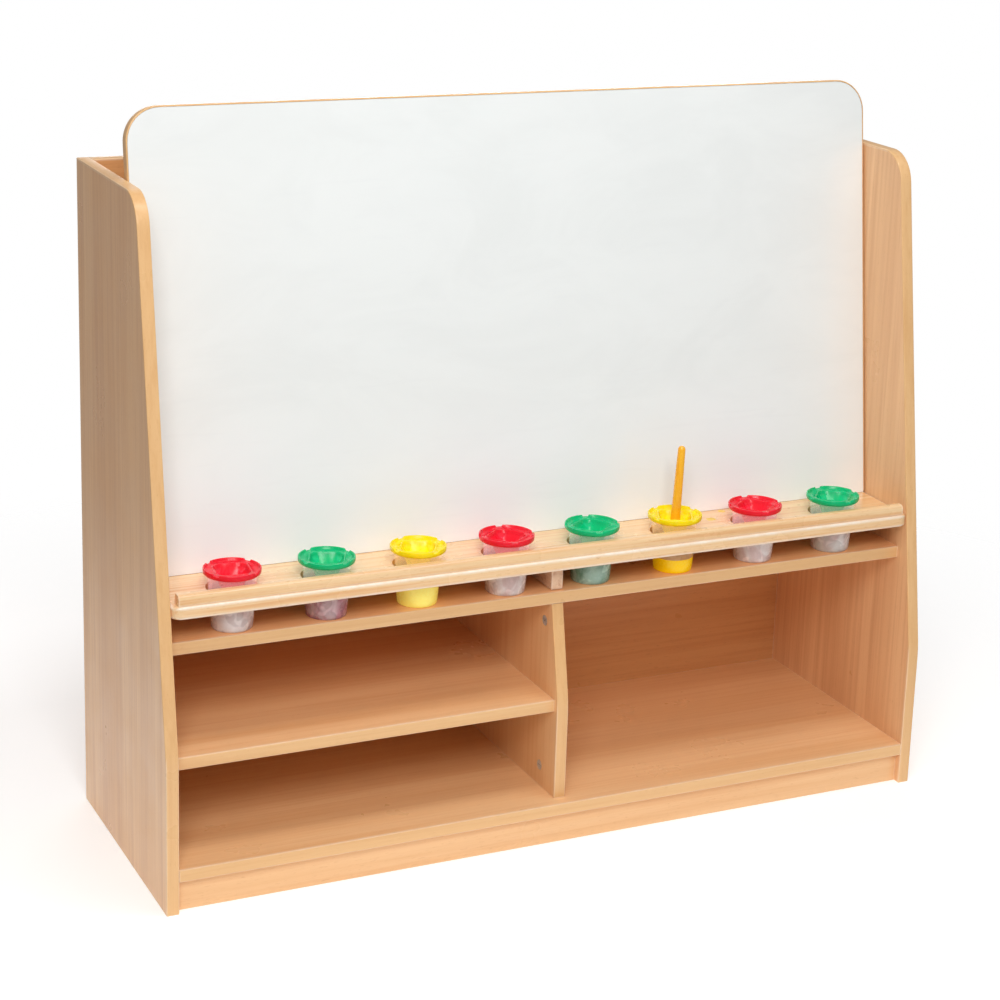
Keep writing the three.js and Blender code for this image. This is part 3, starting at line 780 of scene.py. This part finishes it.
def lid_rings():
    """The lid's surface as rings: up inside the funnel, out to the rim, under it and down the outside."""
    rings = [[] for _ in range(LID_RINGS)]
    for index in range(LID_SIDES):
        angle = 2 * math.pi * index / LID_SIDES
        quarter = (math.degrees(angle) + 45) % 90 - 45  # degrees from the nearest notch
        notch = 1 - step(abs(quarter), 5.5, 8.0)
        channel = 1 - step(abs(quarter), 9, 14)
        ridge = step(abs(quarter), 9, 13) * (1 - step(abs(quarter), 15, 19))
        top = 85.3 - 2.6 * notch
        mouth = 23.8 + 4.4 * (1 - step(abs(quarter), 5, 43))
        crest = 82.9 - 0.5 * channel
        floor = 82.6 - 1.9 * (1 - channel) + 0.9 * ridge
        facet = 0.4 * math.cos(math.radians(quarter * 8))
        wall = 0.9 * (1 - channel)
        middle = (mouth + 38.6) / 2
        profile = [
            (11.6, 52.0), (11.9, 53.4), (14.4 + facet * 0.3, 59.5), (mouth * 0.72 + facet, 70.0),
            (mouth - 1.6 + facet * 0.4, 79.6), (mouth - 0.6, crest - 0.7), (mouth, crest - 0.15),
            (mouth + 0.7, crest), (mouth + 1.4, crest - 0.2), (mouth + 2.2, floor + 0.15), (middle, floor),
            (36.2, floor + 0.1), (37.0, floor + wall), (37.6, top - 0.5), (38.0, top), (39.2, top),
            (39.8, top - 0.4), (40.0, top - 1.2), (40.0, 80.2), (39.8, 79.0), (39.3, 78.0), (38.4, 77.2),
            (37.0, 76.5), (35.2, 75.8), (31.4, 75.7),
            (31.2, 74.4), (30.7, 73.8), (29.8, 73.8), (29.6, 77.5), (24.2, 77.5), (13.3, 52.0),
        ]
        for ring, (radius, height) in zip(rings, profile):
            ring.append((radius * MM * math.cos(angle), radius * MM * math.sin(angle), height * MM))
    return rings


def lid_shader(name, colour, deep, seed):
    """Glossy moulded plastic with fine scratches, blotches of a deeper tone, and the deeper tone growing
    towards the lid's bottom.
    """
    shader = Shader(name)
    blotch = shader.noise(0.02, 4, 0.6, (seed, seed * 2, 1), 0.5)
    scratches = shader.noise((0.0008, 0.012, 0.004), 3, 0.6, (seed, 0, 3), 1.5)
    low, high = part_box(name)
    height = shader.height()
    # the tone grows deeper towards the bottom of the lid, in the funnel
    deeper = shader.ramp(height, low[2], high[2], 1.0, 0.0)
    tone = shader.mix(shader.math("MULTIPLY", deeper, 0.4), colour, deep)
    tone = shader.mix(shader.ramp(blotch, 0.45, 0.75, 0.0, 0.3), tone, deep)
    haze = shader.math("MULTIPLY", shader.ramp(scratches, 0.6, 0.8), 0.06)
    tone = shader.mix(haze, tone, srgb(250, 244, 238))
    rough = shader.ramp(blotch, 0.3, 0.7, 0.2, 0.36)
    shader.set(Base_Color=tone, Roughness=rough, Normal=shader.bump(scratches, 0.06, 0.0003))
    shader.set(Coat_Weight=0.12, Coat_Roughness=0.1, Specular_IOR_Level=0.25)
    through = shader.ramp(height, BASE + FUNNEL[0], BASE + FUNNEL[1], FUNNEL_GLOW, 0.0)
    shader.set(Emission_Color=colour, Emission_Strength=through)
    shader.set(Subsurface_Weight=0.35, Subsurface_Radius=(1.0, 0.6, 0.5), Subsurface_Scale=0.004)
    return shader


def make_lids():
    rings = lid_rings()
    for number in range(1, POTS + 1):
        tint = tint_of(number)
        colour, deep = LID_COLOURS[tint]
        shader = lid_shader(f"lid_{number}", colour, deep, number * 1.9)
        mesh = grid_mesh(f"fine_lid_{number}", rings, stand_matrix(number), True)
        new_piece(f"fine_lid_{number}", mesh, shader, f"lid_{number}", f"lid_{number}")


# ---------------------------------------------------------------- paint

PAINT_GAP = 0.35  # between the paint and the pot's wall
BRUSH_LENGTH = 185.5
BRUSH_ASIDE = 2.2 * MM  # the brush's foot stands this far left of the pot's middle
BRUSH_FOOT = 2.5 * MM
BRUSH_LEAN = math.radians(2.5)
BRUSH_WELL = 9.6  # radius of the hollow that the brush makes in the paint


def paint_shader(name, body, streak):
    """Wet poster paint with slow swirls."""
    shader = Shader(name)
    swirl = shader.noise((0.012, 0.012, 0.004), 3, 0.6, (3, 1, 6), 1.6)
    tone = shader.mix(shader.ramp(swirl, 0.35, 0.7), body, streak)
    shader.set(Base_Color=tone, Roughness=shader.ramp(swirl, 0.3, 0.7, 0.18, 0.3))
    shader.set(Coat_Weight=0.4, Coat_Roughness=0.08, Normal=shader.bump(swirl, 0.1, 0.0006))
    return shader


def paint_surface(level, well):
    """The paint's profile: up the wall, a small rise where it wets the wall, and a gently domed top."""
    bottom = pot_radius(4) - WALL - PAINT_GAP
    top = pot_radius(level) - WALL - PAINT_GAP
    profile = [(well, 2.6), (bottom - 2.2, 2.6), (bottom - 0.6, 3.2), (bottom, 4.4)]
    profile += [(bottom + (top - bottom) * f, 4.4 + (level - 4.4) * f) for f in (0.33, 0.66, 0.96)]
    profile += [(top - 0.1, level), (top - 0.8, level - 0.5), (top - 2.4, level - 1.1)]
    profile += [(18, level - 1.2), (well + 1.5, level - 1.2), (well, level - 0.8)]
    return profile


def make_paint():
    """Paint in two pots. In the second its hollow leans with the brush."""
    shader = paint_shader("pale_yellow_paint", srgb(240, 228, 112), srgb(228, 212, 84))
    rings = lathe_rings(paint_surface(PAINT_LEVELS[3], 0.4), POT_SIDES)
    mesh = grid_mesh("fine_paint_3", rings, stand_matrix(3), False)
    new_piece("fine_paint_3", mesh, shader, "pot_3", "paint_3")
    shader = paint_shader("yellow_paint", srgb(250, 214, 30), srgb(242, 196, 6))
    rings = lathe_rings(paint_surface(PAINT_LEVELS[BRUSH_POT], BRUSH_WELL), POT_SIDES)
    lean = math.tan(BRUSH_LEAN)
    for ring in (rings[0], rings[-1], rings[-2]):
        for index, (x, y, z) in enumerate(ring):
            ring[index] = (x - BRUSH_ASIDE + lean * z, y, z)
    mesh = grid_mesh("fine_paint_6", rings, stand_matrix(BRUSH_POT, turned=False), True)
    new_piece("fine_paint_6", mesh, shader, "pot_6", "paint_6")


# ---------------------------------------------------------------- brush

TURNED_SIDES = 48
HAIRS = 260
HAIR_TURN = 0.61803  # of a circle, from one hair to the next
HAIR_WIDTHS = (0.24, 0.22, 0.18, 0.05)  # half widths along a hair
CORE_SIDES = 32


def brush_matrix():
    centre = POT_CENTRES[BRUSH_POT - 1]
    start = Vector((centre.x - BRUSH_ASIDE, centre.y, BASE + BRUSH_FOOT))
    return Matrix.Translation(start) @ Matrix.Rotation(BRUSH_LEAN, 4, "Y")


def make_handle(place):
    """The wooden handle in orange lacquer, worn through in small chips."""
    shader = Shader("brush_lacquer")
    bands = shader.noise((0.004, 0.004, 0.09), 4, 0.6, (1, 3, 5), 0.4)
    chips = shader.noise((0.004, 0.004, 0.009), 4, 0.7, (2, 8, 1))
    tone = shader.mix(shader.ramp(bands, 0.3, 0.7), srgb(255, 190, 40), srgb(252, 172, 20))
    overlay_weight = shader.math("MULTIPLY", shader.ramp(chips, 0.68, 0.76), 0.5)
    tone = shader.mix(overlay_weight, tone, srgb(226, 180, 120))
    shader.set(Base_Color=tone, Roughness=shader.ramp(chips, 0.3, 0.7, 0.18, 0.3))
    shader.set(Coat_Weight=0.4, Coat_Roughness=0.06, Normal=shader.bump(bands, 0.08, 0.0004))
    tip = arc((0, BRUSH_LENGTH - 5.6), 5.6, 0, 86, 8)
    profile = [
        (0.4, 27), (5.2, 27), (5.2, 36.6), (6.2, 36.7), (6.6, 37.4), (6.8, 42), (7.0, 48), (7.1, 60),
        (7.1, 72), (6.9, 90), (6.6, 112), (6.3, 135), (5.9, 160), *tip,
    ]
    mesh = grid_mesh("fine_brush_handle", lathe_rings(profile, TURNED_SIDES), place, False)
    new_piece("fine_brush_handle", mesh, shader, "brush", "brush_handle")


def make_ferrule(place):
    """The metal sleeve with two pressed grooves."""
    shader = Shader("brush_metal")
    fine = shader.noise((0.0006, 0.0006, 0.006), 3, 0.6, (2, 2, 2))
    shader.set(Base_Color=srgb(214, 213, 208), Metallic=1.0, Roughness=shader.ramp(fine, 0.3, 0.7, 0.2, 0.36))
    shader.set(Normal=shader.bump(fine, 0.1, 0.0002))
    profile = [
        (5.7, 14.1), (6.3, 14.1), (6.45, 14.4), (6.6, 19), (6.6, 20.6), (6.2, 21.4), (6.2, 22.2), (6.6, 23),
        (6.6, 26.4), (6.2, 27.2), (6.2, 28), (6.6, 28.8), (6.65, 35.4), (6.5, 36), (5.7, 36), (5.7, 25),
    ]
    mesh = grid_mesh("fine_brush_ferrule", lathe_rings(profile, TURNED_SIDES), place, True)
    new_piece("fine_brush_ferrule", mesh, shader, "brush", "brush_ferrule")


def make_bristles(place):
    """A tuft of tapering hairs round a solid core, loaded with paint at its tip."""
    shader = Shader("brush_hair")
    strands = shader.noise((0.0006, 0.0006, 0.012), 3, 0.6, (5, 1, 2))
    tone = shader.mix(shader.ramp(strands, 0.3, 0.7), srgb(206, 168, 112), srgb(150, 108, 62))
    wet = shader.ramp(shader.height(), BASE + 12 * MM, BASE + 17 * MM, 1.0, 0.0)
    tone = shader.mix(wet, tone, srgb(248, 208, 28))
    shader.set(Base_Color=tone, Roughness=shader.ramp(wet, 0.0, 1.0, 0.7, 0.25))
    draw = random.Random(7)
    build = bmesh.new()
    core = [(0.4, 1.5), (3.0, 1.8), (5.6, 4.4), (6.4, 8.6), (5.2, 14.4), (5.2, 24.6), (0.4, 24.6)]
    loops = [[build.verts.new(point) for point in ring] for ring in lathe_rings(core, CORE_SIDES)]
    for first, second in zip(loops, loops[1:]):
        bridge(build, first, second)
    build.faces.new(list(reversed(loops[0])))
    build.faces.new(loops[-1])
    for hair in range(HAIRS):
        angle = 2 * math.pi * (hair * HAIR_TURN % 1)
        reach = math.sqrt(draw.uniform(0.12, 1.0))
        side = Vector((math.cos(angle), math.sin(angle), 0))
        cross = Vector((-side.y, side.x, 0))
        end = draw.uniform(0.3, 1.6) + 4.2 * reach ** 3
        bulge = (6.9 * (0.45 + 0.55 * reach), 8.8)
        bend = (6.7 * reach, 4.6 * reach + end * 0.4)
        rows = []
        for (radius, z), wide in zip([(5.3, 14.2), bulge, bend, (4.4 * reach, end)], HAIR_WIDTHS):
            middle = side * radius + Vector((0, 0, z))
            corners = (side * wide, cross * wide, -side * wide, -cross * wide)
            rows.append([build.verts.new((middle + corner) * MM) for corner in corners])
        for first, second in zip(rows, rows[1:]):
            bridge(build, first, second)
        build.faces.new(rows[0])
        build.faces.new(list(reversed(rows[-1])))
    mesh = smooth_mesh(build, "fine_brush_bristles", place)
    new_piece("fine_brush_bristles", mesh, shader, "brush", "brush_bristles")


def make_brush():
    place = brush_matrix()
    make_handle(place)
    make_ferrule(place)
    make_bristles(place)


# ---------------------------------------------------------------- floor and light

FLOOR_RADIUS = 2.1
FLOOR_FADE = 0.75  # from this radius out, the paper fades into the white behind it
WHITE_RADIUS = 60


def stage_plane(name, radius, height, shader):
    """A round sheet that isn't part of the object."""
    build = bmesh.new()
    bmesh.ops.create_circle(build, cap_ends=True, segments=128, radius=radius)
    mesh = to_mesh(build, name)
    plane = bpy.data.objects.new(name, mesh)
    scene.collection.objects.link(plane)
    plane.location.z = height
    mesh.materials.append(shader.material)
    return plane


def make_floor():
    """A sheet of pale paper. Its rim fades into a plain white sheet that casts no light on the object."""
    paper = Shader("floor_paper")
    reach = paper.distance((0, 0, 0))
    paper.set(Base_Color=(0.93, 0.93, 0.93, 1.0), Roughness=0.9, Specular_IOR_Level=0.1)
    paper.set(Alpha=paper.ramp(reach, FLOOR_FADE, FLOOR_RADIUS - 0.1, 1.0, 0.0))
    paper.set(Emission_Color=WHITE, Emission_Strength=0.3)
    stage_plane("floor", FLOOR_RADIUS, 0.0, paper)
    white = Shader("white_behind_floor")
    white.set(Base_Color=BLACK, Specular_IOR_Level=0.0, Emission_Color=WHITE, Emission_Strength=1.0)
    behind = stage_plane("white_behind_floor", WHITE_RADIUS, -0.004, white)
    behind.visible_diffuse = False
    behind.visible_glossy = False
    behind.visible_transmission = False
    behind.visible_shadow = False


# name: place, the point it is aimed at, width and height in metres, power in watts, colour
LIGHTS = {
    "key": ((-1.4, -3.2, 3.0), (0, -0.1, 0.5), (1.9, 1.5), 83, (1.0, 0.995, 0.985)),
    "overhead": ((0, -0.8, 2.8), (0, -0.15, 0.43), (2.4, 0.6), 24, (1, 1, 1)),
    "behind": ((1.2, 3.3, 0.85), (0, 0.2, 0.5), (2.4, 0.7), 45, (1, 1, 1)),
}
WORLD_LIGHT = 0.31


def soft_box(name, place, aim, size, power, colour):
    data = bpy.data.lights.new(name, "AREA")
    data.shape = "RECTANGLE"
    data.size, data.size_y = size
    data.energy = power
    data.color = colour
    lamp = bpy.data.objects.new(name, data)
    scene.collection.objects.link(lamp)
    lamp.location = place
    lamp.rotation_euler = (Vector(aim) - Vector(place)).to_track_quat("-Z", "Y").to_euler()


def make_light():
    """Soft boxes and an even white surround, which the camera sees as plain white."""
    world = bpy.data.worlds.new("studio")
    scene.world = world
    world.use_nodes = True
    nodes, links = world.node_tree.nodes, world.node_tree.links
    backdrop = nodes["Background"]
    backdrop.inputs["Color"].default_value = WHITE
    backdrop.inputs["Strength"].default_value = WORLD_LIGHT
    seen = nodes.new("ShaderNodeBackground")
    seen.inputs["Color"].default_value = WHITE
    seen.inputs["Strength"].default_value = 1.0
    path = nodes.new("ShaderNodeLightPath")
    blend = nodes.new("ShaderNodeMixShader")
    links.new(path.outputs["Is Camera Ray"], blend.inputs[0])
    links.new(backdrop.outputs[0], blend.inputs[1])
    links.new(seen.outputs[0], blend.inputs[2])
    links.new(blend.outputs[0], nodes["World Output"].inputs["Surface"])
    for name, setting in LIGHTS.items():
        soft_box(name, *setting)
    scene.view_settings.view_transform = "Standard"
    scene.view_settings.look = "None"


make_camera()
make_floor()
make_light()
dress_wood()
dress_board_face()
dress_fittings()
make_pots()
make_lids()
make_paint()
make_brush()
